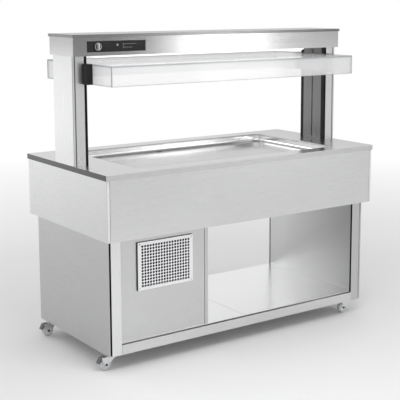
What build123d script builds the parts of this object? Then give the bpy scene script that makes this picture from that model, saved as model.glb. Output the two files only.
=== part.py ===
from build123d import *
import os

os.makedirs("parts", exist_ok=True)

# Overall sizes, in millimetres: +X along the counter, -Y the front, +Z up, floor at zero
sheet = 1.5
worktop_length = 1400
worktop_depth = 700
worktop_edge = 22
housing_height = 243
housing_inset = 4
base_height = 473
base_inset_x = 25
base_inset_y = 40
caster_height = 67

# Base cabinet
rail_height = 40
rail_depth = 25
tube_wall = 2
cross_width = 60
post_width = 45.5
post_return = 25
post_hem = 6
post_gap = 10
panel_hem = 20
panel_flange = 20
flange_clear = 2
bend_radius = 3
shelf_gap = 5
shelf_lip = 3
shelf_set_back = 7
shelf_tuck = 18
panel_seam = 1.5
liner_offset = 4
liner_set_back = 16
liner_return = 15
machine_bay_width = 428
machine_set_back = 10
partition_flange = 15
tray_return = 15
joint_gap = 1

# Vent grille, a proud tray with hexagonal perforations
vent_columns = 18
vent_rows = 14
vent_spacing_x = 13
vent_spacing_z = 12.5
vent_hole = 9
vent_margin_x = 22
vent_margin_z = 18
vent_depth = 8
vent_from_partition = 214
vent_drop = 126
vent_seat = 9
slot_count = 9
slot_length = 190
slot_height = 7
slot_spacing = 18

# Screw heads
screw_radius = 3.5
screw_height = 1.8
screw_inset = 9
column_screw_rise = 17
column_screw_spacing = 18
liner_screw_rise = 22
liner_screw_inset = 20

# Worktop and well
well_length = 1030
well_width = 540
well_depth = 35
well_corner = 40
well_cove = 12
rim_radius = 5
rim_drop = 7
foam_wall = 40
foam_gap = 6
foam_clear = 8
coil_space = 12
coil_radius = 4.75
coil_runs = 6
coil_inset_x = 35
coil_inset_y = 90
coil_tail_from_vent = 71
coil_bend = 25
coil_tail = 10
seat_clear = 0.2
drain_x = -85
drain_from_wall = 26
drain_flange = 13
drain_radius = 9.5
drain_bore = 7
drain_fall = 100
drain_from_partition = 71
drain_bend = 30
valve_radius = 16
valve_height = 50
valve_rise = 455
stem_radius = 4
stem_length = 16
lever_length = 70
lever_width = 14
lever_thickness = 5

# Columns, bridge and lift
column_width = 65
column_depth = 166
column_height = 440
column_setback = 4
groove_width = 5
groove_depth = 0.6
groove_inset = 9
hem_width = 1.2
guide_width = 12
guide_depth = 20
track_width = 4
track_depth = 6
slit_width = 6
slit_end = 12
spindle_radius = 8
spindle_offset = 30
running_clear = 0.05
end_clear = 0.3
bearing_size = 46
bearing_flange = 5
bearing_radius = 14
bearing_boss = 20
gearbox_width = 56
gearbox_depth = 70
gearbox_height = 58
socket_depth = 25
motor_radius = 28
motor_height = 90
bridge_depth = 208
bridge_height = 86
cap_skirt = 12
cap_overhang = 4
light_length = 1120
light_width = 36
light_height = 12

# Controls on the bridge
plate_length = 270
plate_height = 44
plate_thickness = 2.5
plate_from_end = 62
plate_rise = 15
knob_from_end = 46
knob_radius = 17
knob_base = 6
knob_grip_width = 8
knob_grip_height = 9
knob_gap = 0.5
shaft_radius = 4
shaft_length = 22
boss_radius = 9
lamp_from_end = 137
lamp_rise = 5
lamp_radius = 4.5

# Dome of clear sheet
clear_sheet = 5
dome_lap = 3
dome_height = 82
dome_raise = 328
dome_end_gap = 4
shoe_width = 23
shoe_depth = 42
shoe_clear = 0.4
shoe_chamfer = 3
nut_radius = 16
nut_height = 40
collar_wall = 4
collar_height = 20
web_thickness = 4
carriage_flange = 3
carriage_width = 80
carriage_height = 50

# Casters
caster_inset_x = 60
caster_inset_y = 92
caster_plate = 60
caster_plate_thickness = 3
wheel_radius = 25
wheel_width = 20
eye_radius = 9
axle_radius = 4
trail = 30
fork_thickness = 2.5
fork_top_radius = 21
fork_gap = 12
pin_radius = 5
pin_head = 8
pin_head_height = 3
pedal_pivot_back = 15
pedal_pivot_up = 27
pedal_pin = 2.5
pedal_hub = 5
pedal_reach = 17
pedal_drop = 17
pedal_thickness = 3

# Condensing unit
core_width = 210
core_height = 176
core_depth = 36
core_stand_off = 14
fin_groove = 5
fin_spacing = 10
side_plate = 3
side_flange = 20
shroud_radius = 80
shroud_wall = 3
shroud_length = 34
fan_radius = 74
fan_hub = 18
fan_hub_length = 24
fan_blades = 5
blade_width = 40
blade_thickness = 2
blade_angle = 32
fan_motor_radius = 28
fan_motor_length = 40
arm_width = 10
arm_thickness = 3
fan_shaft = 4
compressor_from_vent = 12
compressor_from_panel = 210
compressor_radius = 75
compressor_height = 160
compressor_foot = 15
foot_radius = 12
foot_spacing_x = 150
foot_spacing_y = 130
foot_plate = 3
line_radius = 5
line_bend = 20
drier_radius = 12
drier_length = 80
box_width = 60
box_depth = 150
box_from_panel = 56
box_height = 130
box_rise = 200
switch_from_vent = 89
switch_drop = 70
switch_width = 26
switch_height = 34
switch_depth = 20
rocker_width = 16
rocker_height = 22
rocker_thickness = 7
rocker_pin = 1.5
rocker_tilt = 8

# Levels and faces that follow from the sizes
half_length = worktop_length / 2
half_depth = worktop_depth / 2
base_x = half_length - base_inset_x
base_y = half_depth - base_inset_y
housing_x = half_length - housing_inset
housing_y = half_depth - housing_inset
base_bottom = caster_height
housing_bottom = base_bottom + base_height
fold_bottom = housing_bottom + housing_height
worktop_top = fold_bottom + worktop_edge
worktop_under = worktop_top - sheet
rail_top = base_bottom + rail_height
shelf_under = rail_top + shelf_gap
shelf_top = shelf_under + sheet
post_outer = base_x - sheet - post_gap
post_inner = post_outer - post_width
liner_face = post_inner + liner_offset
partition_face = machine_bay_width - liner_face
panel_face = base_y - machine_set_back
vent_x = partition_face - vent_from_partition
vent_z = housing_bottom - vent_drop
vent_width = (vent_columns - 1) * vent_spacing_x + 2 * vent_margin_x
vent_height = (vent_rows - 1) * vent_spacing_z + 2 * vent_margin_z
column_outer = half_length - column_setback
column_inner = column_outer - column_width
column_face = column_depth / 2
column_top = worktop_top + column_height
bridge_top = column_top + bridge_height
bridge_face = bridge_depth / 2
spindle_x = column_inner + spindle_offset
dome_x = column_inner - dome_end_gap
dome_y = well_width / 2 + dome_lap + clear_sheet
dome_bottom = worktop_top + dome_raise
dome_top = dome_bottom + dome_height
caster_x = half_length - caster_inset_x
caster_y = half_depth - caster_inset_y
well_floor = worktop_top - well_depth
foam_floor = well_floor - sheet - coil_space
foam_bottom = foam_floor - foam_wall
drain_y = well_width / 2 - drain_from_wall
drain_drop_x = partition_face - drain_from_partition
compressor_x = vent_x - compressor_from_vent
compressor_y = panel_face - compressor_from_panel
switch_x = vent_x - switch_from_vent


def block(x, y, z):
    """A box between a low and a high value along each axis."""
    size = [high - low for low, high in (x, y, z)]
    centre = [(low + high) / 2 for low, high in (x, y, z)]
    return Pos(*centre) * Box(*size)


def upright(radius, x, y, z):
    """A round bar along Z."""
    return Pos(x, y, (z[0] + z[1]) / 2) * Cylinder(radius, z[1] - z[0])


def fore_bar(radius, x, y, z):
    """A round bar along Y."""
    return Pos(x, (y[0] + y[1]) / 2, z) * Rot(90, 0, 0) * Cylinder(radius, y[1] - y[0])


def side_plate_of(outline, y):
    """A plate standing in the XZ plane, drawn as an outline in X and Z."""
    return Pos(0, y[1], 0) * Rot(90, 0, 0) * extrude(outline, y[1] - y[0])


def corners(shape, axis=Axis.Z):
    """The edges of a block that run along one axis."""
    return shape.edges().filter_by(axis)


def both_ends(shape):
    """A piece and its mirror image at the other end of the counter."""
    return [shape, mirror(shape, Plane.YZ)]


def both_faces(shape):
    """A piece and its mirror image on the other long side."""
    return [shape, mirror(shape, Plane.XZ)]


def rounded_prism(length, width, corner, z):
    """A rounded rectangle centred on the counter, extruded between two levels."""
    return Pos(0, 0, z[0]) * extrude(RectangleRounded(length, width, corner), z[1] - z[0])


def facet_bar(radius, x, y, z, sides=8):
    """A bar of a few flat sides along Z."""
    return Pos(x, y, z[0]) * extrude(RegularPolygon(radius, sides), z[1] - z[0])


def bent_tube(radius, points, bend, sides=8):
    """A tube of a few flat sides along straight runs joined by arcs."""
    path = FilletPolyline(*points, radius=bend)
    start = Plane(origin=path @ 0, z_dir=path % 0)
    return sweep(start * RegularPolygon(radius, sides), path=path)


def keep(name, *pieces):
    """Writes one node, as a group where it has several solids."""
    solids = [solid for piece in pieces for solid in piece.solids()]
    shape = solids[0] if len(solids) == 1 else Compound(solids)
    export_step(shape, f"parts/{name}.step")


# Base frame: two rails and three cross members of square tube
def rail_tube():
    outer = block((-post_inner, post_inner), (-base_y, -base_y + rail_depth), (base_bottom, rail_top))
    bore_y = (-base_y + tube_wall, -base_y + rail_depth - tube_wall)
    bore_z = (base_bottom + tube_wall, rail_top - tube_wall)
    return outer - block((-post_inner, post_inner), bore_y, bore_z)


def cross_tube(x):
    reach = base_y - rail_depth
    outer = block((x - cross_width / 2, x + cross_width / 2), (-reach, reach), (base_bottom, shelf_under))
    bore_x = (x - cross_width / 2 + tube_wall, x + cross_width / 2 - tube_wall)
    bore_z = (base_bottom + tube_wall, shelf_under - tube_wall)
    return outer - block(bore_x, (-reach, reach), bore_z)


cross_places = (-caster_x, 0, caster_x)
keep("base_frame", *both_faces(rail_tube()), *[cross_tube(x) for x in cross_places])


# Corner posts: folded sections with a deep outer return and a short inner hem
def corner_post():
    height = (base_bottom, housing_bottom)
    outer = block((post_inner, post_outer), (-base_y, -base_y + post_return), height)
    front_edges = corners(outer).group_by(Axis.Y)[0]
    outer = fillet(front_edges, bend_radius)
    hollow = block((post_inner + sheet, post_outer - sheet), (-base_y + sheet, 0), height)
    hollow = fillet(corners(hollow).group_by(Axis.Y)[0], bend_radius - sheet)
    hem_cut = block((post_inner - sheet, post_inner + 2 * sheet), (-base_y + post_hem, 0), height)
    return outer - hollow - hem_cut


front_posts = both_ends(corner_post())
keep("corner_posts", *[post for front in front_posts for post in both_faces(front)])


# Side panels: a skin with hemmed upright edges and flanges at top and bottom
def side_panel():
    height = (base_bottom, housing_bottom)
    skin = block((base_x - sheet, base_x), (-base_y, base_y), height)
    hem = block((base_x - 2 * sheet, base_x - sheet), (-base_y, -base_y + panel_hem), height)
    for strip in both_faces(hem):
        skin += strip
    outer_edges = corners(skin).group_by(Axis.X)[-1]
    skin = fillet(outer_edges, bend_radius - sheet / 2)
    reach = base_y - post_return - flange_clear
    foot_x = (caster_x + cross_width / 2, base_x - sheet)
    foot = block(foot_x, (-reach, reach), (base_bottom, base_bottom + sheet))
    head_x = (base_x - sheet - panel_flange, base_x - sheet)
    head = block(head_x, (-reach, reach), (housing_bottom - sheet, housing_bottom))
    return skin + foot + head


keep("side_panels", *both_ends(side_panel()))


# Shelf: two sheets that meet on the centre line, with a short lip along front and rear
def shelf_half():
    edge = base_y - shelf_set_back
    plate = block((panel_seam / 2, liner_face + shelf_tuck), (-edge, edge), (shelf_under, shelf_top))
    lip_z = (shelf_top - shelf_lip, shelf_under)
    lip = block((panel_seam / 2, liner_face + shelf_tuck), (-edge, -edge + sheet), lip_z)
    for strip in both_faces(lip):
        plate += strip
    return plate


keep("shelf_sheets", *both_ends(shelf_half()))


# Side liners: the inner walls of the bays
def side_liner():
    edge = base_y - liner_set_back
    height = (shelf_top, housing_bottom)
    wall = block((liner_face, liner_face + sheet), (-edge, edge), height)
    fold = block((liner_face, liner_face + liner_return), (-edge, -edge + sheet), height)
    for strip in both_faces(fold):
        wall += strip
    return wall


keep("side_liners", *both_ends(side_liner()))


# Partition between the machine bay and the open bay
def partition_wall():
    height = (shelf_top, housing_bottom)
    web = block((partition_face - sheet, partition_face), (-panel_face, panel_face), height)
    fold_x = (partition_face - sheet - partition_flange, partition_face - sheet)
    fold = block(fold_x, (-panel_face, -panel_face + sheet), height)
    for strip in both_faces(fold):
        web += strip
    return web


keep("partition", partition_wall())


# Machine bay panels: folded trays, the front one with the vent opening, the rear one with slots
def machine_tray():
    x = (-liner_face + joint_gap, partition_face - sheet - partition_flange - joint_gap)
    y = (-panel_face, -panel_face + tray_return)
    z = (shelf_top, housing_bottom - joint_gap)
    outer = block(x, y, z)
    outer = fillet(corners(outer).group_by(Axis.Y)[0], bend_radius - sheet / 2)
    inner_x = (x[0] + sheet, x[1] - sheet)
    inner_y = (y[0] + sheet, y[1])
    inner_z = (z[0] + sheet, z[1] - sheet)
    return outer - block(inner_x, inner_y, inner_z)


def vent_opening():
    half_x = vent_width / 2 - 1.5 * vent_seat
    half_z = vent_height / 2 - vent_seat
    x = (vent_x - half_x, vent_x + half_x)
    return block(x, (-base_y, -panel_face + 2 * sheet), (vent_z - half_z, vent_z + half_z))


def hem_line():
    low = shelf_top + tray_return - hem_width
    y = (-panel_face, -panel_face + groove_depth)
    return block((-liner_face, partition_face), y, (low, low + hem_width))


keep("machine_front_panel", machine_tray() - vent_opening() - hem_line())

rear_panel = mirror(machine_tray(), Plane.XZ)
switch_z = housing_bottom - switch_drop
for index in range(slot_count):
    slot_z = vent_z - (index + 0.5) * slot_spacing
    rear_panel -= block(
        (vent_x - slot_length / 2, vent_x + slot_length / 2),
        (panel_face - 2 * sheet, base_y),
        (slot_z - slot_height / 2, slot_z + slot_height / 2),
    )
switch_body_x = (switch_x - switch_width / 2 + sheet, switch_x + switch_width / 2 - sheet)
switch_body_z = (switch_z - switch_height / 2 + sheet, switch_z + switch_height / 2 - sheet)
rear_panel -= block(switch_body_x, (panel_face - 2 * sheet, base_y), switch_body_z)
keep("machine_rear_panel", rear_panel)


# Vent grille: a shallow tray with a square field of perforations
def vent_tray():
    face = Rectangle(vent_width, vent_height)
    holes = GridLocations(vent_spacing_x, vent_spacing_z, vent_columns, vent_rows)
    face -= [place * RegularPolygon(vent_hole / 2, 6) for place in holes]
    front = -panel_face - vent_depth
    skin = Pos(vent_x, 0, vent_z) * side_plate_of(face, (front, front + sheet))
    rim = Rectangle(vent_width, vent_height) - Rectangle(vent_width - 2 * sheet, vent_height - 2 * sheet)
    return skin + Pos(vent_x, 0, vent_z) * side_plate_of(rim, (front + sheet, -panel_face))


keep("vent_grille", vent_tray())


# Screw heads on the grille, the columns and the liners
def front_head(x, face, z):
    head = facet_bar(screw_radius, 0, 0, (0, screw_height))
    return Pos(x, -face, z) * Rot(90, 0, 0) * head


def liner_head(y):
    head = facet_bar(screw_radius, 0, 0, (0, screw_height))
    return Pos(liner_face, y, shelf_top + liner_screw_rise) * Rot(0, -90, 0) * head


def screw_heads():
    liner_edge = base_y - liner_set_back - liner_screw_inset
    heads = [head for y in (-liner_edge, liner_edge) for head in both_ends(liner_head(y))]
    for x in (vent_width / 2 - screw_inset, screw_inset - vent_width / 2):
        for z in (vent_height / 2 - screw_inset, screw_inset - vent_height / 2):
            heads.append(front_head(vent_x + x, panel_face + vent_depth, vent_z + z))
    column_middle = (column_outer + column_inner + guide_width) / 2
    for shift in (-column_screw_spacing / 2, column_screw_spacing / 2):
        head = front_head(column_middle + shift, column_face, worktop_top + column_screw_rise)
        heads += [copy for end in both_ends(head) for copy in both_faces(end)]
    return heads


keep("panel_screws", *screw_heads())


# Well housing: front and rear panels between two end panels that wrap the corners
def housing_end():
    wrap = housing_x - 4 * bend_radius
    height = (housing_bottom, worktop_under)
    outer = block((wrap, housing_x), (-housing_y, housing_y), height)
    outer = fillet(corners(outer).group_by(Axis.X)[-1], bend_radius)
    hollow = block((wrap, housing_x - sheet), (-housing_y + sheet, housing_y - sheet), height)
    return outer - fillet(corners(hollow).group_by(Axis.X)[-1], bend_radius - sheet)


def housing_front():
    reach = housing_x - 4 * bend_radius - panel_seam
    skin = block((-reach, reach), (-housing_y, -housing_y + sheet), (housing_bottom, worktop_under))
    fold_y = (-housing_y + sheet, -housing_y + sheet + panel_flange)
    return skin + block((-reach, reach), fold_y, (housing_bottom, housing_bottom + sheet))


def housing_base():
    reach = housing_x - sheet
    edge = housing_y - sheet - panel_flange
    z = (housing_bottom, housing_bottom + sheet)
    plate = block((-reach, reach), (-edge, edge), z)
    hatch_x = (-liner_face + shelf_tuck, partition_face - partition_flange - shelf_tuck)
    return plate - block(hatch_x, (-panel_face + foam_wall, panel_face - tray_return), z)


front_housing, rear_housing = both_faces(housing_front())
keep("housing_front_panel", front_housing)
keep("housing_rear_panel", rear_housing)
keep("housing_end_panels", *both_ends(housing_end()))
keep("housing_floor", housing_base())


# Worktop: a folded sheet with a rounded rim turned down into the well
def worktop_sheet():
    height = (fold_bottom, worktop_top)
    outer = block((-half_length, half_length), (-half_depth, half_depth), height)
    outer = fillet(corners(outer), bend_radius)
    outer = chamfer(outer.faces().sort_by(Axis.Z)[-1].edges(), sheet / 2)
    inner_x = half_length - sheet
    inner_y = half_depth - sheet
    top = outer - block((-inner_x, inner_x), (-inner_y, inner_y), (fold_bottom, worktop_under))
    skirt = rim_radius + sheet
    rim_z = (worktop_top - rim_drop, worktop_top)
    top += rounded_prism(well_length + 2 * skirt, well_width + 2 * skirt, well_corner + skirt, rim_z)
    top -= rounded_prism(well_length, well_width, well_corner, (fold_bottom, worktop_top))
    rim = top.faces().sort_by(Axis.Z)[-1].inner_wires()[0].edges()
    top = fillet(rim, rim_radius)
    for x in (-spindle_x, spindle_x):
        top -= upright(bearing_radius, x, 0, (fold_bottom, worktop_top))
    return top


keep("worktop", worktop_sheet())


# Well basin: a pressed tray with coved walls and a drain hole
def basin_tray():
    height = (well_floor - sheet, worktop_top - rim_drop)
    outer = rounded_prism(well_length + 2 * sheet, well_width + 2 * sheet, well_corner + sheet, height)
    outer = fillet(outer.faces().sort_by(Axis.Z)[0].edges(), well_cove + sheet)
    inner = rounded_prism(well_length, well_width, well_corner, (well_floor, worktop_top - rim_drop))
    inner = fillet(inner.faces().sort_by(Axis.Z)[0].edges(), well_cove)
    return outer - inner - upright(drain_radius + seat_clear, drain_x, drain_y, height)


keep("well_basin", basin_tray())

# Insulation round the basin, with a space under it for the coil
coil_end = well_length / 2 - coil_inset_x
coil_side = well_width / 2 - coil_inset_y
coil_spacing = 2 * coil_side / (coil_runs - 1)
tail_x = vent_x + coil_tail_from_vent
coil_level = well_floor - sheet - seat_clear - coil_radius
tail_level = foam_bottom - coil_tail


def foam_block():
    reach = well_length / 2 + foam_wall
    edge = housing_y - sheet - foam_gap
    foam = block((-reach, reach), (-edge, edge), (foam_bottom, worktop_under))
    foam -= rounded_prism(
        well_length + 2 * foam_clear, well_width + 2 * foam_clear, well_corner, (foam_floor, worktop_under)
    )
    foam -= upright(drain_radius + seat_clear, drain_x, drain_y, (foam_bottom, foam_floor))
    half = coil_radius + seat_clear
    for y in (-coil_side, coil_side):
        tail_slot = (tail_x - half, tail_x + coil_bend)
        foam -= block(tail_slot, (y - half, y + half), (foam_bottom, foam_floor))
    return foam


keep("insulation", foam_block())


# Evaporator coil: one tube that winds to and fro under the basin and drops out at both ends
def coil_route():
    points = [(tail_x, -coil_side, tail_level), (tail_x, -coil_side, coil_level)]
    for turn in range(coil_runs - 1):
        end = coil_end if turn % 2 == 0 else -coil_end
        y = turn * coil_spacing - coil_side
        points += [(end, y, coil_level), (end, y + coil_spacing, coil_level)]
    points += [(tail_x, coil_side, coil_level), (tail_x, coil_side, tail_level)]
    return points


keep("evaporator_coil", bent_tube(coil_radius, coil_route(), coil_bend))

# Drain: a flanged outlet with its pipe, and a ball valve in the machine bay
pipe_level = foam_bottom - drain_fall / 2
valve_top = valve_rise + valve_height
drain_route = [
    (drain_x, drain_y, well_floor),
    (drain_x, drain_y, pipe_level),
    (drain_drop_x, drain_y, pipe_level - drain_bend / 5),
    (drain_drop_x, drain_y, valve_top),
]
outlet = bent_tube(drain_radius, drain_route, drain_bend)
outlet += upright(drain_flange, drain_x, drain_y, (well_floor, well_floor + sheet))
outlet -= upright(drain_bore, drain_x, drain_y, (well_floor - well_depth, well_floor + sheet))
keep("drain_outlet", outlet)

valve_middle = valve_rise + valve_height / 2
stem_end = drain_y - valve_radius - stem_length
valve = facet_bar(valve_radius, drain_drop_x, drain_y, (valve_rise, valve_top), 6)
valve += facet_bar(drain_radius, drain_drop_x, drain_y, (valve_rise - valve_radius, valve_rise))
valve += fore_bar(stem_radius, drain_drop_x, (stem_end, drain_y), valve_middle)
keep("drain_valve", valve)


# Lever of the valve: a hub on the stem and a tapered arm, lying across the pipe when shut
def valve_arm():
    hub = Circle(lever_width * 0.75)
    tip = Pos(lever_length, 0) * Circle(lever_width / 2)
    outline = make_hull(hub.edges() + tip.edges())
    arm_y = (stem_end, stem_end + lever_thickness)
    arm = Pos(drain_drop_x, 0, valve_middle) * side_plate_of(outline, arm_y)
    return arm - fore_bar(stem_radius + running_clear, drain_drop_x, arm_y, valve_middle)


keep("valve_lever", mirror(valve_arm(), Plane.YZ.offset(drain_drop_x)))


# Columns: folded shells, closed on the inner side by guide strips and a slit panel
def column_shell():
    height = (worktop_top, column_top)
    open_side = column_inner + guide_width
    outer = block((open_side, column_outer), (-column_face, column_face), height)
    outer = fillet(corners(outer).group_by(Axis.X)[-1], bend_radius - sheet / 2)
    hollow = block((open_side, column_outer - sheet), (-column_face + sheet, column_face - sheet), height)
    shell = outer - hollow
    groove_x = (column_outer - groove_inset - groove_width, column_outer - groove_inset)
    groove = block(groove_x, (-column_face, -column_face + groove_depth), height)
    for cut in both_faces(groove):
        shell -= cut
    return shell


def guide_strip():
    height = (worktop_top, column_top)
    bar_x = (column_inner, column_inner + guide_width)
    bar = block(bar_x, (-column_face, -column_face + guide_depth), height)
    track_x = column_inner + guide_width / 2
    track = (track_x - track_width / 2, track_x + track_width / 2)
    return bar - block(track, (-column_face, -column_face + track_depth), height)


def slit_panel():
    edge = column_face - guide_depth
    height = (worktop_top, column_top)
    back = column_inner + guide_width
    outer = block((column_inner, back), (-edge, edge), height)
    hollow = block((column_inner + sheet, back), (-edge + sheet, edge - sheet), height)
    slit_z = (worktop_top + slit_end, column_top - slit_end)
    return outer - hollow - block((column_inner, back), (-slit_width / 2, slit_width / 2), slit_z)


keep("columns", *both_ends(column_shell()))
keep("guide_strips", *[strip for end in both_ends(guide_strip()) for strip in both_faces(end)])
keep("column_panels", *both_ends(slit_panel()))

# Lift drive: a spindle in each column, a top bearing and a gear motor under the worktop
socket_bottom = worktop_under - socket_depth
spindle_bottom = socket_bottom + end_clear
spindle_top = column_top - 4 * end_clear


def spindle(x):
    bar = upright(spindle_radius, x, 0, (spindle_bottom, spindle_top))
    return chamfer(bar.edges().filter_by(GeomType.CIRCLE), joint_gap)


def top_bearing():
    half = bearing_size / 2
    flange_bottom = column_top - bearing_flange
    boss_bottom = flange_bottom - bearing_boss
    body = block((spindle_x - half, spindle_x + half), (-half, half), (flange_bottom, column_top))
    body += upright(bearing_radius, spindle_x, 0, (boss_bottom, flange_bottom))
    return body - upright(spindle_radius + running_clear, spindle_x, 0, (boss_bottom, column_top))


def gear_motor():
    x = (spindle_x - gearbox_width / 2, spindle_x + gearbox_width / 2)
    gearbox_bottom = worktop_under - gearbox_height
    box = block(x, (-gearbox_depth / 2, gearbox_depth / 2), (gearbox_bottom, worktop_under))
    box = chamfer(corners(box), bend_radius)
    box += upright(motor_radius, spindle_x, 0, (gearbox_bottom - motor_height, gearbox_bottom))
    return box - upright(spindle_radius + running_clear, spindle_x, 0, (socket_bottom, worktop_under))


keep("spindle_left", spindle(-spindle_x))
keep("spindle_right", spindle(spindle_x))
keep("spindle_bearings", *both_ends(top_bearing()))
keep("lift_motors", *both_ends(gear_motor()))

# Bridge: a folded trough on the columns, its cap, and the light under it
plate_left = -half_length + plate_from_end
plate_bottom = column_top + plate_rise
plate_middle = plate_bottom + plate_height / 2
plate_front = bridge_face + plate_thickness
knob_x = plate_left + knob_from_end
body_top = bridge_top - sheet


def bridge_trough():
    outer = block((-half_length, half_length), (-bridge_face, bridge_face), (column_top, body_top))
    outer = fillet(corners(outer), bend_radius)
    inner_x = half_length - sheet
    inner_y = bridge_face - sheet
    trough = outer - block((-inner_x, inner_x), (-inner_y, inner_y), (column_top + sheet, body_top))
    return trough - fore_bar(boss_radius + seat_clear, knob_x, (-bridge_face, -inner_y), plate_middle)


def bridge_lid():
    x = half_length + cap_overhang
    y = bridge_face + cap_overhang
    lid = block((-x, x), (-y, y), (bridge_top - cap_skirt, bridge_top))
    lid = fillet(corners(lid), bend_radius)
    lid = chamfer(lid.faces().sort_by(Axis.Z)[-1].edges(), sheet / 2)
    return lid - block((sheet - x, x - sheet), (sheet - y, y - sheet), (bridge_top - cap_skirt, body_top))


def light():
    x = light_length / 2
    y = light_width / 2
    bar = block((-x, x), (-y, y), (column_top - light_height, column_top))
    return chamfer(bar.faces().sort_by(Axis.Z)[0].edges(), light_height / 3)


keep("bridge_body", bridge_trough())
keep("bridge_cap", bridge_lid())
keep("light_bar", light())


# Control plate with the bush of its selector, the knob, and a pilot lamp
def fascia():
    x = (plate_left, plate_left + plate_length)
    z = (plate_bottom, plate_bottom + plate_height)
    plate = block(x, (-plate_front, -bridge_face), z)
    plate = chamfer(plate.faces().sort_by(Axis.Y)[0].edges(), plate_thickness / 3)
    plate += fore_bar(boss_radius, knob_x, (-bridge_face, -bridge_face + shaft_length), plate_middle)
    bore = (-plate_front, -bridge_face + shaft_length)
    return plate - fore_bar(shaft_radius + running_clear, knob_x, bore, plate_middle)


def knob():
    seat = -plate_front - knob_gap
    base = fore_bar(knob_radius, knob_x, (seat - knob_base, seat), plate_middle)
    base = chamfer(base.edges().filter_by(GeomType.CIRCLE).group_by(Axis.Y)[0], knob_base / 4)
    grip_x = (knob_x - knob_grip_width / 2, knob_x + knob_grip_width / 2)
    grip_half = knob_radius - knob_base / 4
    grip_y = (seat - knob_base - knob_grip_height, seat - knob_base)
    grip = block(grip_x, grip_y, (plate_middle - grip_half, plate_middle + grip_half))
    grip = chamfer(grip.faces().sort_by(Axis.Y)[0].edges(), knob_grip_width / 4)
    return base + grip + fore_bar(shaft_radius, knob_x, (seat, seat + shaft_length), plate_middle)


def lamp():
    x = plate_left + lamp_from_end
    return fore_bar(lamp_radius, x, (-plate_front - lamp_radius / 2, -plate_front), plate_middle + lamp_rise)


keep("control_plate", fascia())
keep("selector_knob", knob())
keep("pilot_lamp", lamp())

# Dome: a lid of clear plates, open below
plate_under = dome_top - clear_sheet
dome_wall = (dome_bottom, plate_under)
front_wall = block((-dome_x, dome_x), (-dome_y, -dome_y + clear_sheet), dome_wall)
end_wall = block((dome_x - clear_sheet, dome_x), (-dome_y + clear_sheet, dome_y - clear_sheet), dome_wall)
dome_front, dome_rear = both_faces(front_wall)
keep("dome_front", dome_front)
keep("dome_rear", dome_rear)
keep("dome_ends", *both_ends(end_wall))
keep("dome_top", block((-dome_x, dome_x), (-dome_y, dome_y), (plate_under, dome_top)))


# Guide shoes: blocks on the dome's ends, each with a tongue in a guide strip's track
def guide_shoe():
    x = (dome_x, dome_x + shoe_width)
    y = (-column_face - shoe_depth, -column_face - shoe_clear)
    shoe = block(x, y, (dome_bottom, dome_top))
    outer_edge = corners(shoe).group_by(Axis.X)[-1]
    shoe = chamfer(outer_edge, shoe_chamfer)
    track_x = column_inner + guide_width / 2
    tongue = track_width / 2 - shoe_clear
    tongue_y = (-column_face - shoe_clear, -column_face + track_depth - shoe_clear)
    return shoe + block((track_x - tongue, track_x + tongue), tongue_y, (dome_bottom, dome_top))


keep("guide_shoes", *[shoe for end in both_ends(guide_shoe()) for shoe in both_faces(end)])

# Lift nuts on the spindles, and carriages that reach through the slits to the dome's ends
lift_middle = (dome_bottom + dome_top) / 2


def lift_nut():
    height = (lift_middle - nut_height / 2, lift_middle + nut_height / 2)
    nut = facet_bar(nut_radius, spindle_x, 0, height, 6)
    return nut - upright(spindle_radius + running_clear, spindle_x, 0, height)


def carriage():
    height = (lift_middle - collar_height / 2, lift_middle + collar_height / 2)
    body = upright(nut_radius + collar_wall, spindle_x, 0, height)
    body += block((dome_x, spindle_x), (-web_thickness / 2, web_thickness / 2), height)
    flange_z = (lift_middle - carriage_height / 2, lift_middle + carriage_height / 2)
    flange_y = (-carriage_width / 2, carriage_width / 2)
    body += block((dome_x, dome_x + carriage_flange), flange_y, flange_z)
    return body - upright(nut_radius + seat_clear / 2, spindle_x, 0, height)


keep("lift_nuts", *both_ends(lift_nut()))
keep("lift_carriages", *both_ends(carriage()))

# Casters: plates with king pins, swivel forks, wheels, and foot pedals on the left pair
fork_top = base_bottom - caster_plate_thickness - fork_top_radius / 3
fork_under = fork_top - fork_thickness


def caster_plate_at(x, y):
    half = caster_plate / 2
    plate_bottom_level = base_bottom - caster_plate_thickness
    body = block((x - half, x + half), (y - half, y + half), (plate_bottom_level, base_bottom))
    body = chamfer(corners(body), fork_top_radius / 3)
    body += facet_bar(fork_top_radius, x, y, (fork_top + end_clear, plate_bottom_level))
    body += upright(pin_radius, x, y, (fork_under - end_clear - pin_head_height, fork_top + end_clear))
    head_z = (fork_under - end_clear - pin_head_height, fork_under - end_clear)
    return body + facet_bar(pin_head, x, y, head_z, 6)


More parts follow.
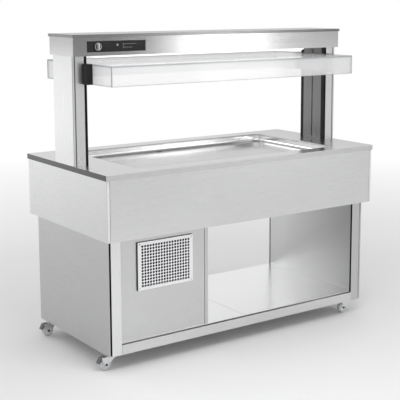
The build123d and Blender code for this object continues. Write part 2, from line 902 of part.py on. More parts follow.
def fork(x, y, braked):
    axle_x = x - trail
    crown = upright(fork_top_radius, x, y, (fork_under, fork_top))
    rear = pedal_pivot_back + pedal_hub if braked else eye_radius
    outline = Polygon(
        (x + fork_top_radius * 0.8, fork_top),
        (axle_x - rear, fork_top),
        (axle_x - rear, fork_under - pedal_hub),
        (axle_x - eye_radius, wheel_radius),
        (axle_x - eye_radius / 2, wheel_radius - eye_radius),
        (axle_x + eye_radius / 2, wheel_radius - eye_radius),
        (axle_x + eye_radius, wheel_radius),
        align=None,
    )
    body = crown
    for side in (-1, 1):
        near = y + side * fork_gap
        cheek = (near, near + fork_thickness) if side > 0 else (near - fork_thickness, near)
        body += side_plate_of(outline, cheek)
    body -= upright(fork_top_radius, x, y, (fork_top, base_bottom))
    web_y = (y - fork_gap, y + fork_gap)
    body += block((axle_x, x), web_y, (fork_under, fork_top))
    body -= upright(pin_radius + running_clear, x, y, (fork_under, fork_top))
    span = (y - fork_gap - fork_thickness, y + fork_gap + fork_thickness)
    body += fore_bar(axle_radius, axle_x, span, wheel_radius)
    if braked:
        pivot_z = wheel_radius + pedal_pivot_up
        body += fore_bar(pedal_pin, axle_x - pedal_pivot_back, span, pivot_z)
    return body


def wheel(x, y):
    axle_x = x - trail
    face_y = (y - wheel_width / 2, y + wheel_width / 2)
    tyre = fore_bar(wheel_radius, axle_x, face_y, wheel_radius)
    return tyre - fore_bar(axle_radius + running_clear, axle_x, face_y, wheel_radius)


def pedal(x, y):
    pivot_x = x - trail - pedal_pivot_back
    pivot_z = wheel_radius + pedal_pivot_up
    width = (y - fork_gap + end_clear, y + fork_gap - end_clear)
    hub = Pos(pivot_x, pivot_z) * Circle(pedal_hub)
    edge = pedal_thickness / 2
    knee = Pos(pivot_x - pedal_reach / 3, pivot_z + pedal_hub - edge) * Circle(edge)
    tip = Pos(pivot_x - pedal_reach, pivot_z - pedal_drop) * Circle(edge)
    outline = hub + make_hull(hub.edges() + knee.edges()) + make_hull(knee.edges() + tip.edges())
    lever = side_plate_of(outline, width)
    return lever - fore_bar(pedal_pin + running_clear, pivot_x, width, pivot_z)


caster_places = {
    "front_left": (-caster_x, -caster_y),
    "front_right": (caster_x, -caster_y),
    "rear_left": (-caster_x, caster_y),
    "rear_right": (caster_x, caster_y),
}
keep("caster_plates", *[caster_plate_at(x, y) for x, y in caster_places.values()])
for place, (x, y) in caster_places.items():
    braked = "left" in place
    keep(f"caster_fork_{place}", fork(x, y, braked))
    keep(f"caster_wheel_{place}", wheel(x, y))
    if braked:
        keep(f"brake_pedal_{place}", pedal(x, y))

# Condenser on the back of the vent panel: a finned core between two flanged side plates
core_front = -panel_face + core_stand_off
core_back = core_front + core_depth
core_z = (vent_z - core_height / 2, vent_z + core_height / 2)


def condenser():
    half = core_width / 2
    core = block((vent_x - half, vent_x + half), (core_front, core_back), core_z)
    groove_count = int(core_width / fin_spacing)
    for index in range(groove_count):
        left = vent_x - half + (index + 0.25) * fin_spacing
        core -= block((left, left + fin_groove), (core_front, core_front + core_depth / 3), core_z)
    for side in (-1, 1):
        near = vent_x + side * half
        cheek = sorted((near, near + side * side_plate))
        core += block(cheek, (-panel_face + sheet, core_back), core_z)
        wing = sorted((near, near + side * side_flange))
        core += block(wing, (-panel_face + sheet, -panel_face + 2 * sheet), core_z)
    return core


keep("condenser", condenser())

# Fan: shroud on the condenser, motor on a spider behind it, blades on the motor's shaft
ring_back = core_back + shroud_length
motor_front = ring_back + arm_thickness
hub_front = ring_back - fan_hub_length - 2 * end_clear


def shroud():
    half = core_width / 2
    plate = block((vent_x - half, vent_x + half), (core_back, core_back + side_plate), core_z)
    ring = fore_bar(shroud_radius + shroud_wall, vent_x, (core_back, ring_back), vent_z)
    return plate + ring - fore_bar(shroud_radius, vent_x, (core_back, ring_back), vent_z)


def fan_motor():
    spread = shroud_radius + shroud_wall
    arms_y = (ring_back, motor_front)
    half = arm_width / 2
    across = block((vent_x - spread, vent_x + spread), arms_y, (vent_z - half, vent_z + half))
    upward = block((vent_x - half, vent_x + half), arms_y, (vent_z - spread, vent_z + spread))
    motor = fore_bar(fan_motor_radius, vent_x, (ring_back, motor_front + fan_motor_length), vent_z)
    shaft = fore_bar(fan_shaft, vent_x, (hub_front, ring_back), vent_z)
    return across + upward + motor + shaft


def fan():
    hub_y = (hub_front, hub_front + fan_hub_length)
    body = fore_bar(fan_hub, vent_x, hub_y, vent_z)
    middle = (hub_y[0] + hub_y[1]) / 2
    for index in range(fan_blades):
        blade = Pos((fan_hub + fan_radius) / 2, 0, 0) * Rot(blade_angle, 0, 0)
        blade = blade * Box(fan_radius - fan_hub + eye_radius, blade_thickness, blade_width)
        body += Pos(vent_x, middle, vent_z) * Rot(0, index * 360 / fan_blades, 0) * blade
    body &= fore_bar(fan_radius, vent_x, hub_y, vent_z)
    return body - fore_bar(fan_shaft + running_clear, vent_x, hub_y, vent_z)


keep("fan_shroud", shroud(), fan_motor())
keep("fan_blades", fan())

# Compressor: a welded pot on a foot plate with four rubber feet
pot_bottom = shelf_top + compressor_foot + foot_plate
pot_top = pot_bottom + compressor_height
port_top = pot_top + line_bend / 2
discharge_port = (compressor_x - foot_radius * 2, compressor_y - foot_radius * 2)
suction_port = (compressor_x + foot_radius * 2, compressor_y + foot_radius * 2)


def compressor():
    pot = upright(compressor_radius, compressor_x, compressor_y, (pot_bottom, pot_top))
    pot = chamfer(pot.edges().filter_by(GeomType.CIRCLE).group_by(Axis.Z)[-1], compressor_radius / 4)
    for x, y in (discharge_port, suction_port):
        pot += facet_bar(line_radius + sheet, x, y, (pot_top - sheet, port_top))
    plate_z = (shelf_top + compressor_foot, pot_bottom)
    spread_x = foot_spacing_x / 2 + foot_radius
    spread_y = foot_spacing_y / 2 + foot_radius
    x_span = (compressor_x - spread_x, compressor_x + spread_x)
    pot += block(x_span, (compressor_y - spread_y, compressor_y + spread_y), plate_z)
    for place in GridLocations(foot_spacing_x, foot_spacing_y, 2, 2):
        foot = place.position
        pot += facet_bar(foot_radius, compressor_x + foot.X, compressor_y + foot.Y, (shelf_top, plate_z[0]))
    return pot


keep("compressor", compressor())

# Refrigerant lines: discharge, suction, and the liquid line with its drier
cheek_right = vent_x + core_width / 2 + side_plate
cheek_left = vent_x - core_width / 2 - side_plate
line_y = (core_front + core_back) / 2
discharge_level = vent_z + core_height / 5
suction_level = housing_bottom - 2 * line_bend
discharge_route = [
    (*discharge_port, port_top),
    (*discharge_port, discharge_level),
    (cheek_right + 2 * line_bend, discharge_port[1], discharge_level),
    (cheek_right + 2 * line_bend, line_y, discharge_level),
    (cheek_right, line_y, discharge_level),
]
suction_route = [
    (tail_x, coil_side, tail_level),
    (tail_x, coil_side, suction_level),
    (suction_port[0], coil_side, suction_level),
    (*suction_port, suction_level),
    (*suction_port, port_top),
]
liquid_level = vent_z - core_height / 3
liquid_x = cheek_left - 2 * line_bend
liquid_route = [
    (cheek_left, line_y, liquid_level),
    (liquid_x, line_y, liquid_level),
    (liquid_x, -coil_side, liquid_level),
    (liquid_x, -coil_side, housing_bottom + foam_wall),
    (tail_x, -coil_side, housing_bottom + foam_wall),
    (tail_x, -coil_side, tail_level),
]
liquid = bent_tube(line_radius, liquid_route, line_bend)
drier_z = (liquid_level + 2 * line_bend, liquid_level + 2 * line_bend + drier_length)
liquid += facet_bar(drier_radius, liquid_x, -coil_side, drier_z)
discharge = bent_tube(line_radius, discharge_route, line_bend)
suction = bent_tube(line_radius, suction_route, line_bend)
keep("refrigerant_lines", discharge, suction, liquid)

# Control box on the partition
box_x = (partition_face - sheet - box_width, partition_face - sheet)
box_y = (panel_face - box_from_panel - box_depth, panel_face - box_from_panel)
keep("control_box", chamfer(corners(block(box_x, box_y, (box_rise, box_rise + box_height))), bend_radius))

# Main switch in the rear panel: a framed body and a rocker on a pin
rocker_y = panel_face + sheet


def switch_frame():
    x = (switch_x - switch_width / 2, switch_x + switch_width / 2)
    z = (switch_z - switch_height / 2, switch_z + switch_height / 2)
    frame = block(x, (panel_face, panel_face + 2 * sheet), z)
    body = [(low + seat_clear, high - seat_clear) for low, high in (switch_body_x, switch_body_z)]
    frame += block(body[0], (panel_face - switch_depth, panel_face), body[1])
    well_x = (switch_x - rocker_width / 2 - end_clear, switch_x + rocker_width / 2 + end_clear)
    well_z = (switch_z - rocker_height / 2 - 2 * end_clear, switch_z + rocker_height / 2 + 2 * end_clear)
    frame -= block(well_x, (panel_face - rocker_height / 2, panel_face + 2 * sheet), well_z)
    pin = Pos(switch_x, rocker_y, switch_z) * Rot(0, 90, 0) * Cylinder(rocker_pin, rocker_width + 2 * sheet)
    return frame + pin


def rocker():
    body = Box(rocker_width, rocker_thickness, rocker_height)
    body = chamfer(corners(body, Axis.X), sheet)
    body -= Rot(0, 90, 0) * Cylinder(rocker_pin + running_clear, rocker_width)
    return Pos(switch_x, rocker_y, switch_z) * Rot(rocker_tilt, 0, 0) * body


keep("switch_frame", switch_frame())
keep("switch_rocker", rocker())
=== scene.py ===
import math

import bmesh
import bpy
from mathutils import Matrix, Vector


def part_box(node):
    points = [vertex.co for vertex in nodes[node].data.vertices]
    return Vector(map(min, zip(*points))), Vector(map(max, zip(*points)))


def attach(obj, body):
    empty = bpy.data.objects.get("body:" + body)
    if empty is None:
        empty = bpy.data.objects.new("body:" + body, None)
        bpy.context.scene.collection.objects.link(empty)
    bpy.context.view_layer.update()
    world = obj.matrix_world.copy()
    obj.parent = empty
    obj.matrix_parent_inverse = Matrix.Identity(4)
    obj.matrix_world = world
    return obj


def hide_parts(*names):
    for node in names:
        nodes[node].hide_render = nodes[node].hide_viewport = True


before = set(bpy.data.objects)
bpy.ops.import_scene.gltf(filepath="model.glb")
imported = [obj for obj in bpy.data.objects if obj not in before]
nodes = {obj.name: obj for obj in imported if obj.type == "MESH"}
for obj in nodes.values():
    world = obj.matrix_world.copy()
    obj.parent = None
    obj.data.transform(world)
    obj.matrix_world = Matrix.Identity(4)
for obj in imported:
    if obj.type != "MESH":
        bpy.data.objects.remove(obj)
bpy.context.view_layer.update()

# Sizes of the solids, in metres, that the looks and the small fittings follow
MM = 0.001
SHEET = 1.5 * MM
POST_WIDTH = 45.5 * MM
LINER_RETURN = 15.0 * MM
FORK_FACE = 14.5 * MM
VENT_COLUMNS = 18
VENT_ROWS = 14
VENT_SPACING_X = 13.0 * MM
VENT_SPACING_Z = 12.5 * MM

# Places of the casters, as in the names of their nodes
CASTERS = ("front_left", "front_right", "rear_left", "rear_right")

# How near to a face a point counts as lying on it
FACE_MARGIN = 0.4 * MM
FOLD_MARGIN = 0.5 * MM

# Points of a fitting that are no further apart than this, in metres, are one point
WELD = 1e-7
SHARP_ANGLE = math.radians(35.0)
TO_FRONT = (0, -1, 0)


# Short calls for building node trees
class Nodes:
    """A node tree and the coordinates that its nodes read."""

    def __init__(self, tree, space):
        self.tree = tree
        self.coords = self.add("ShaderNodeTexCoord").outputs[space]

    def add(self, kind, **settings):
        node = self.tree.nodes.new(kind)
        for key, value in settings.items():
            setattr(node, key, value)
        return node

    def link(self, source, target):
        self.tree.links.new(source, target)

    def feed(self, socket, value):
        """Link an output to a socket, or set the socket to a plain value."""
        if hasattr(value, "is_linked"):
            self.link(value, socket)
        else:
            socket.default_value = value

    def along(self, axis):
        split = self.add("ShaderNodeSeparateXYZ")
        self.link(self.coords, split.inputs["Vector"])
        return split.outputs[axis]

    def math(self, operation, first, second=0.0):
        node = self.add("ShaderNodeMath", operation=operation)
        self.feed(node.inputs[0], first)
        self.feed(node.inputs[1], second)
        return node.outputs[0]

    def spread(self, source, low, high, start=0.3, end=0.7, curve="LINEAR"):
        """Map start to low and end to high, and what lies between them accordingly."""
        reach = self.add("ShaderNodeMapRange", interpolation_type=curve)
        limits = {"From Min": start, "From Max": end, "To Min": low, "To Max": high}
        for name, value in limits.items():
            reach.inputs[name].default_value = value
        self.link(source, reach.inputs["Value"])
        return reach.outputs["Result"]

    def mix(self, share, first, second, kind="FLOAT"):
        node = self.add("ShaderNodeMix", data_type=kind)
        self.link(share, node.inputs["Factor"])
        self.feed(node.inputs["A"], first)
        self.feed(node.inputs["B"], second)
        return node.outputs["Result"]


class Surface(Nodes):
    """A material's node tree, built round one shader."""

    def __init__(self, name):
        self.material = bpy.data.materials.new(name)
        self.material.use_nodes = True
        super().__init__(self.material.node_tree, "Object")
        self.shader = self.tree.nodes["Principled BSDF"]

    def set(self, **values):
        for key, value in values.items():
            self.shader.inputs[key.replace("_", " ")].default_value = value

    def noise(self, scale, stretch=(1, 1, 1), detail=3.0, roughness=0.5):
        mapping = self.add("ShaderNodeMapping")
        mapping.inputs["Scale"].default_value = stretch
        self.link(self.coords, mapping.inputs["Vector"])
        texture = self.add("ShaderNodeTexNoise")
        texture.inputs["Scale"].default_value = scale
        texture.inputs["Detail"].default_value = detail
        texture.inputs["Roughness"].default_value = roughness
        self.link(mapping.outputs["Vector"], texture.inputs["Vector"])
        return texture.outputs["Fac"]

    def cells(self, scale):
        texture = self.add("ShaderNodeTexVoronoi")
        texture.inputs["Scale"].default_value = scale
        self.link(self.coords, texture.inputs["Vector"])
        return texture.outputs["Distance"]

    def blend(self, share, first, second):
        """Mix two colours, each an output or a set of red, green and blue."""
        opaque = [value if hasattr(value, "is_linked") else (*value, 1.0) for value in (first, second)]
        return self.mix(share, *opaque, kind="RGBA")

    def over(self, axis, edge):
        return self.math("GREATER_THAN", self.along(axis), edge)

    def under(self, axis, edge):
        return self.math("LESS_THAN", self.along(axis), edge)

    def beyond(self, axis, edge):
        """One where a point is further than edge from the middle of the counter."""
        return self.math("GREATER_THAN", self.math("ABSOLUTE", self.along(axis)), edge)

    def within(self, axis, edge):
        """One where a point is nearer than edge to the middle of the counter."""
        return self.math("LESS_THAN", self.math("ABSOLUTE", self.along(axis)), edge)

    def both(self, first, second):
        return self.math("MULTIPLY", first, second)

    def bump(self, height, strength, distance):
        bump = self.add("ShaderNodeBump")
        bump.inputs["Strength"].default_value = strength
        bump.inputs["Distance"].default_value = distance
        self.link(height, bump.inputs["Height"])
        self.link(bump.outputs["Normal"], self.shader.inputs["Normal"])

    def colour(self, source):
        self.link(source, self.shader.inputs["Base Color"])

    def rough(self, source):
        self.link(source, self.shader.inputs["Roughness"])


# Metals
def brushed_steel(name, tone, grain, roughness=0.3, shades=(), matt_highlight=False):
    """Sheet brushed along one axis. Each shade is a mask and the tone painted on the faces under it, as
    painted light and shade; the flag also makes those faces matt, a painted highlight.
    """
    across_grain = 90.0
    tree = Surface(name)
    stretch = tuple(1.0 if axis == grain else across_grain for axis in "xyz")
    lines = tree.noise(scale=9.0, stretch=stretch, detail=4.0, roughness=0.6)
    clouds = tree.noise(scale=3.5, detail=2.0)
    light = (tone, tone, tone * 1.005)
    dark = tuple(value * tone * 0.95 for value in (0.995, 1.0, 1.005))
    streak = tree.blend(tree.spread(lines, low=0.0, high=1.0), dark, light)
    sheen = tree.blend(tree.spread(clouds, low=0.0, high=0.25), streak, (tone * 0.9,) * 3)
    tree.set(Metallic=1.0)
    # Painted light and shade: each mask lays its own tone over the grain; with the flag set the masked faces
    # lose their metal and look lighter, a painted highlight.
    for mask, mask_tone in shades:
        shaded = mask(tree)
        sheen = tree.blend(shaded, sheen, (mask_tone,) * 3)
        if matt_highlight:
            tree.link(tree.math("SUBTRACT", 1.0, shaded), tree.shader.inputs["Metallic"])
    tree.colour(sheen)
    tree.rough(tree.spread(lines, low=roughness - 0.05, high=roughness + 0.07))
    tree.bump(lines, strength=0.04, distance=0.6 * MM)
    return tree.material


def polished_steel(name, tone, light_part=None):
    """Smooth steel with a faint grain. A light part is a mask of faces painted almost white: a painted
    reflection of the light.
    """
    light_tone = 0.95
    tree = Surface(name)
    clouds = tree.noise(scale=5.0, detail=4.0)
    lines = tree.noise(scale=8.0, stretch=(1.0, 70.0, 70.0), detail=3.0)
    share = tree.spread(clouds, low=0.0, high=1.0)
    sheen = tree.blend(share, (tone * 0.94,) * 3, (tone, tone, tone * 1.005))
    if light_part:
        sheen = tree.blend(light_part(tree), sheen, (light_tone,) * 3)
    tree.colour(sheen)
    tree.rough(tree.spread(lines, low=0.13, high=0.21))
    tree.bump(lines, strength=0.02, distance=0.5 * MM)
    tree.set(Metallic=1.0)
    return tree.material


def zinc_steel(name, tone):
    tree = Surface(name)
    grains = tree.cells(scale=260.0)
    patch = tree.spread(grains, low=0.0, high=1.0, start=0.0, end=0.8)
    tree.colour(tree.blend(patch, (tone * 0.85, tone * 0.86, tone * 0.88), (tone, tone, tone * 1.01)))
    tree.rough(tree.spread(tree.noise(scale=60.0), low=0.26, high=0.42))
    tree.bump(grains, strength=0.05, distance=0.4 * MM)
    tree.set(Metallic=1.0)
    return tree.material


def stained_metal(name, dark, light, scale, detail, dull_roughness, bright_roughness):
    tree = Surface(name)
    stain = tree.noise(scale, detail=detail)
    tree.colour(tree.blend(tree.spread(stain, low=0.0, high=1.0), dark, light))
    tree.rough(tree.spread(stain, low=dull_roughness, high=bright_roughness))
    tree.set(Metallic=1.0)
    return tree.material


# Plastics, paints and rubber
def moulded_plastic(name, colour, roughness=0.45, grain=900.0, grain_bump=0.15, gloss=0.5):
    tree = Surface(name)
    grit = tree.noise(scale=grain, detail=2.0)
    wear = tree.noise(scale=14.0, detail=4.0)
    lighter = tuple(min(1.0, value * 1.35 + 0.01) for value in colour)
    tree.colour(tree.blend(tree.spread(wear, low=0.0, high=1.0), colour, lighter))
    tree.rough(tree.spread(grit, low=roughness - 0.06, high=roughness + 0.1))
    tree.bump(grit, strength=grain_bump, distance=0.3 * MM)
    tree.set(Specular_IOR_Level=gloss)
    return tree.material


def clear_acrylic(name, node, clear_axis, haze, tone):
    """Clear sheet whose cut edges look greyer and denser than its faces."""
    edge_start = 3.0 * MM
    edge_full = 1.5 * MM
    edge_haze = 0.8
    edge_grey = (0.42, 0.44, 0.45)
    tree = Surface(name)
    edges = []
    for axis, start, end in zip("XYZ", *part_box(node)):
        if axis != clear_axis:
            offset = tree.math("ABSOLUTE", tree.math("SUBTRACT", tree.along(axis), (start + end) / 2))
            half = (end - start) / 2
            edges.append(tree.spread(offset, 0.0, 1.0, start=half - edge_start, end=half - edge_full))
    edge = tree.math("MAXIMUM", *edges)
    tree.colour(tree.blend(edge, (tone, tone, tone * 1.01), edge_grey))
    tree.link(tree.spread(edge, haze, edge_haze, start=0.0, end=1.0), tree.shader.inputs["Alpha"])
    tree.rough(tree.spread(tree.noise(scale=7.0, detail=4.0), low=0.04, high=0.1))
    tree.set(IOR=1.49)
    return tree.material


def light_diffuser(name):
    tree = Surface(name)
    ribs = tree.add("ShaderNodeTexWave", wave_type="BANDS", bands_direction="Y")
    ribs.inputs["Scale"].default_value = 140.0
    tree.link(tree.coords, ribs.inputs["Vector"])
    crest = ribs.outputs["Fac"]
    glow = tree.spread(crest, low=0.9, high=1.1, start=0.0, end=1.0)
    tree.colour(tree.blend(crest, (0.86, 0.86, 0.84), (0.93, 0.93, 0.92)))
    tree.rough(tree.spread(tree.noise(scale=40.0), low=0.35, high=0.5))
    tree.bump(crest, strength=0.2, distance=0.8 * MM)
    tree.link(glow, tree.shader.inputs["Emission Strength"])
    tree.set(Emission_Color=(1.0, 0.99, 0.97, 1.0))
    return tree.material


def foam(name):
    tree = Surface(name)
    pores = tree.cells(scale=500.0)
    tree.colour(tree.blend(pores, (0.7, 0.62, 0.42), (0.86, 0.8, 0.6)))
    tree.bump(pores, strength=0.4, distance=1.0 * MM)
    tree.set(Roughness=0.8)
    return tree.material


def enamel(name, colour):
    tree = Surface(name)
    peel = tree.noise(scale=220.0, detail=2.0)
    dust = tree.noise(scale=9.0, detail=5.0)
    dusty = tuple(value + 0.04 for value in colour)
    tree.colour(tree.blend(tree.spread(dust, low=0.0, high=0.5), colour, dusty))
    tree.rough(tree.spread(dust, low=0.25, high=0.4))
    tree.bump(peel, strength=0.08, distance=0.4 * MM)
    return tree.material


def tread_rubber(name, colour):
    tree = Surface(name)
    grit = tree.noise(scale=420.0, detail=3.0)
    scuff = tree.noise(scale=35.0, detail=5.0)
    scuffed = tuple(value * 1.25 for value in colour)
    tree.colour(tree.blend(tree.spread(scuff, low=0.0, high=1.0), colour, scuffed))
    tree.rough(tree.spread(scuff, low=0.55, high=0.75))
    tree.bump(grit, strength=0.2, distance=0.4 * MM)
    return tree.material


# Masks: one on the faces of a piece that are lighter or darker than the rest of it
def post_gap_shade(tree):
    """Painted shade: the faces in the gap left of the left posts, and a strip on the inner side of the front
    posts, painted near black as shadow gaps.
    """
    shaded_strip_width = 7.0 * MM
    low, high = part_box("corner_posts")
    left_gap = tree.under("X", low[0] + FACE_MARGIN)
    inner_side = tree.within("X", high[0] - POST_WIDTH + FACE_MARGIN)
    gap_strip_shade = tree.both(inner_side, tree.under("Y", low[1] + shaded_strip_width))
    return tree.math("MAXIMUM", left_gap, gap_strip_shade)


# Painted shade: the right posts get a darker tone than the left ones.
def right_post_shade(tree):
    return tree.over("X", 0.0)


def right_hem_light(tree):
    """The hem of the right side panel, behind its skin: painted light, pale and matt so that the shaded gap
    there looks bright.
    """
    behind_skin = 2.0 * MM
    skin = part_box("side_panels")[1][0]
    return tree.both(tree.within("X", skin - behind_skin), tree.over("X", 0.0))


def end_rim_highlight(tree):
    """The narrow front faces of the end panels, beside the front panel: a painted highlight, matt so that
    they look lighter.
    """
    return tree.under("Y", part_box("housing_end_panels")[0][1] + FACE_MARGIN)


def bay_front_shade(tree):
    """Painted shade that grows from the rear of the open bay to its front, darker towards the front."""
    return tree.spread(tree.along("Y"), low=0.0, high=1.0, start=0.2, end=-0.28)


def bridge_right_light(tree):
    """Painted reflection that grows from the left end of the bridge to the right one, lighter towards the
    right.
    """
    return tree.spread(tree.along("X"), low=0.0, high=1.0, start=-0.55, end=0.6)


# Painted light: the end faces of the bridge get a lighter tone than its front.
def bridge_ends_light(tree):
    return tree.beyond("X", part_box("bridge_body")[1][0] - FOLD_MARGIN)


def worktop_right_shade(tree):
    """Painted shade that grows towards the right end of the worktop, darker towards the right."""
    return tree.spread(tree.along("X"), low=0.0, high=1.0, start=0.25, end=0.68)


# Painted light: the front fold of the worktop gets a lighter tone than its top.
def front_fold_light(tree):
    return tree.beyond("Y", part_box("worktop")[1][1] - FOLD_MARGIN)


# Painted shade: the end folds of the worktop are painted almost black.
def end_fold_shade(tree):
    return tree.beyond("X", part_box("worktop")[1][0] - FOLD_MARGIN)


# Painted reflection: the walls of the well above the cove are painted almost white.
def basin_wall_reflection(tree):
    cove = 6.0 * MM
    return tree.over("Z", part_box("well_basin")[0][2] + cove)


# Painted shade: the sides of the grille's rim are painted near black, as a shadow gap.
def grille_rim_shade(tree):
    return tree.over("Y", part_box("vent_grille")[0][1] + FOLD_MARGIN)


def column_groove_shade(tree):
    """The floor of the grooves near the outer edges of the columns, painted dark: painted shade in the
    grooves.
    """
    shallow = 0.3 * MM
    deep = 0.9 * MM
    groove_reach = 16.0 * MM
    outer, face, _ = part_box("columns")[1]
    floor = tree.both(tree.within("Y", face - shallow), tree.beyond("Y", face - deep))
    return tree.both(floor, tree.beyond("X", outer - groove_reach))


# Materials of the sheet metal. Their tones differ by part, mostly as painted light and shade, darkest on the
# inner column panels, the bridge and its cap; the masks above paint more light and shade within a part.
end_shades = ((end_rim_highlight, 0.72),)
side_shades = ((right_hem_light, 0.9),)
post_shades = ((right_post_shade, 0.6), (post_gap_shade, 0.004))
top_shades = ((worktop_right_shade, 0.42), (front_fold_light, 0.7), (end_fold_shade, 0.11))
bridge_shades = ((bridge_right_light, 0.84), (bridge_ends_light, 0.56))
steel_front = brushed_steel("steel_front", 0.78, "x")
steel_end = brushed_steel("steel_end", 0.72, "y", shades=end_shades, matt_highlight=True)
steel_side = brushed_steel("steel_side", 0.57, "y", shades=side_shades, matt_highlight=True)
steel_rail = brushed_steel("steel_rail", 0.76, "x")
steel_post = brushed_steel("steel_post", 0.86, "z", shades=post_shades)
steel_column = brushed_steel("steel_column", 0.77, "z", shades=((column_groove_shade, 0.12),))
# Painted shade: the inner column panels get a far darker tone than the rest of the steel.
steel_inner = brushed_steel("steel_inner_panel", 0.21, "z")
steel_machine = brushed_steel("steel_machine", 0.68, "x")
steel_top = brushed_steel("steel_worktop", 0.58, "x", roughness=0.24, shades=top_shades)
# Painted shade: the bridge and its cap get darker tones than the rest of the steel.
steel_bridge = brushed_steel("steel_bridge", 0.43, "x", roughness=0.18, shades=bridge_shades)
steel_cap = brushed_steel("steel_cap", 0.32, "x", roughness=0.24)
steel_shelf = brushed_steel("steel_shelf", 0.8, "y", roughness=0.22)
steel_bay = brushed_steel("steel_bay", 0.7, "y", roughness=0.38, shades=((bay_front_shade, 0.38),))
steel_partition = brushed_steel("steel_partition", 0.66, "z")
steel_grille = brushed_steel("steel_grille", 0.97, "x", roughness=0.5, shades=((grille_rim_shade, 0.02),))
steel_basin = polished_steel("steel_basin", 0.4, light_part=basin_wall_reflection)

# Materials of fittings and controls
steel_screw = polished_steel("steel_screw", 0.7)
steel_trim = polished_steel("steel_trim", 0.85)
steel_bolt = polished_steel("steel_bolt", 0.08)
steel_drain = polished_steel("steel_drain", 0.1)
zinc = zinc_steel("zinc", 0.8)
near_black = (0.008, 0.008, 0.009)
black_guide = moulded_plastic("black_guide", near_black, gloss=0.2)
black_film = moulded_plastic(
    "black_film", near_black, roughness=0.3, grain=1500.0, grain_bump=0.05, gloss=0.3
)
knob_plastic = moulded_plastic("knob_plastic", (0.03, 0.03, 0.032), roughness=0.35)
grip_plastic = moulded_plastic("grip_plastic", (0.42, 0.43, 0.44), roughness=0.3)
mark_ink = moulded_plastic("mark_ink", (0.16, 0.16, 0.16), roughness=0.5)
lamp_lens = moulded_plastic("lamp_lens", (0.2, 0.23, 0.21), roughness=0.2, grain=300.0)
diffuser = light_diffuser("light_diffuser")
hub_plastic = moulded_plastic("hub_plastic", (0.72, 0.73, 0.74), roughness=0.4)
wheel_rubber = tread_rubber("wheel_rubber", (0.5, 0.51, 0.52))
pedal_plastic = moulded_plastic("pedal_plastic", (0.08, 0.08, 0.085))

# Materials of the pieces inside
box_plastic = moulded_plastic("box_plastic", (0.006, 0.006, 0.007), gloss=0.2)
foam_yellow = foam("foam_yellow")
copper_tube = stained_metal(
    "copper_tube",
    dark=(0.45, 0.2, 0.1),
    light=(0.78, 0.42, 0.26),
    scale=30.0,
    detail=5.0,
    dull_roughness=0.45,
    bright_roughness=0.25,
)
brass_metal = stained_metal(
    "brass_metal",
    dark=(0.5, 0.36, 0.14),
    light=(0.72, 0.56, 0.26),
    scale=45.0,
    detail=4.0,
    dull_roughness=0.4,
    bright_roughness=0.28,
)
motor_paint = enamel("motor_paint", (0.03, 0.03, 0.033))
lever_paint = enamel("lever_paint", (0.4, 0.03, 0.025))
# Painted shade: the condenser fins and fan blades are painted near black so that the holes of the grille
# look dark.
fin_shade_black = brushed_steel("fin_aluminium", 0.03, "z", roughness=0.5)

caster_forks = [f"caster_fork_{place}" for place in CASTERS]
caster_wheel_nodes = [f"caster_wheel_{place}" for place in CASTERS]
looks = {
    steel_front: ["housing_front_panel", "housing_rear_panel", "housing_floor"],
    steel_end: ["housing_end_panels"],
    steel_side: ["side_panels"],
    steel_rail: ["base_frame"],
    steel_post: ["corner_posts"],
    steel_column: ["columns"],
    steel_inner: ["column_panels"],
    steel_machine: ["machine_front_panel", "machine_rear_panel"],
    steel_top: ["worktop"],
    steel_bridge: ["bridge_body"],
    steel_cap: ["bridge_cap"],
    steel_shelf: ["shelf_sheets"],
    steel_bay: ["side_liners"],
    steel_partition: ["partition"],
    steel_grille: ["vent_grille"],
    steel_basin: ["well_basin"],
    steel_screw: ["panel_screws"],
    steel_drain: ["drain_outlet"],
    zinc: [
        "spindle_left", "spindle_right", "spindle_bearings", "lift_carriages", "caster_plates", *caster_forks
    ],
    black_guide: ["guide_strips", "guide_shoes"],
    black_film: ["control_plate", "switch_frame", "switch_rocker"],
    knob_plastic: ["selector_knob"],
    lamp_lens: ["pilot_lamp"],
    diffuser: ["light_bar"],
    wheel_rubber: caster_wheel_nodes,
    pedal_plastic: ["brake_pedal_front_left", "brake_pedal_rear_left"],
    box_plastic: ["fan_shroud", "control_box"],
    foam_yellow: ["insulation"],
    copper_tube: ["evaporator_coil", "refrigerant_lines"],
    brass_metal: ["lift_nuts", "drain_valve"],
    motor_paint: ["lift_motors", "compressor"],
    lever_paint: ["valve_lever"],
    fin_shade_black: ["condenser", "fan_blades"],
}


def dress(node, material):
    mesh = nodes[node].data
    mesh.materials.clear()
    mesh.materials.append(material)


for material, names in looks.items():
    for node in names:
        dress(node, material)

# The plates of the dome, each with the axis that its clear faces look along
dome_plates = (
    {"node": "dome_front", "clear_axis": "Y", "haze": 0.5, "tone": 0.88},
    {"node": "dome_rear", "clear_axis": "Y", "haze": 0.5, "tone": 0.98},
    {"node": "dome_ends", "clear_axis": "X", "haze": 0.52, "tone": 0.98},
    {"node": "dome_top", "clear_axis": "Z", "haze": 0.42, "tone": 0.98},
)
for plate in dome_plates:
    dress(plate["node"], clear_acrylic(f"acrylic_{plate['node']}", **plate))


# Small fittings, modelled more finely than the sheet metal
def add_piece(name, shape, material, body, slot, *hidden):
    mesh = bpy.data.meshes.new(name)
    bmesh.ops.recalc_face_normals(shape, faces=shape.faces)
    shape.to_mesh(mesh)
    shape.free()
    for face in mesh.polygons:
        face.use_smooth = True
    mesh.set_sharp_from_angle(angle=SHARP_ANGLE)
    mesh.materials.append(material)
    obj = bpy.data.objects.new(name, mesh)
    bpy.context.collection.objects.link(obj)
    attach(obj, body)
    if hidden:
        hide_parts(*hidden)


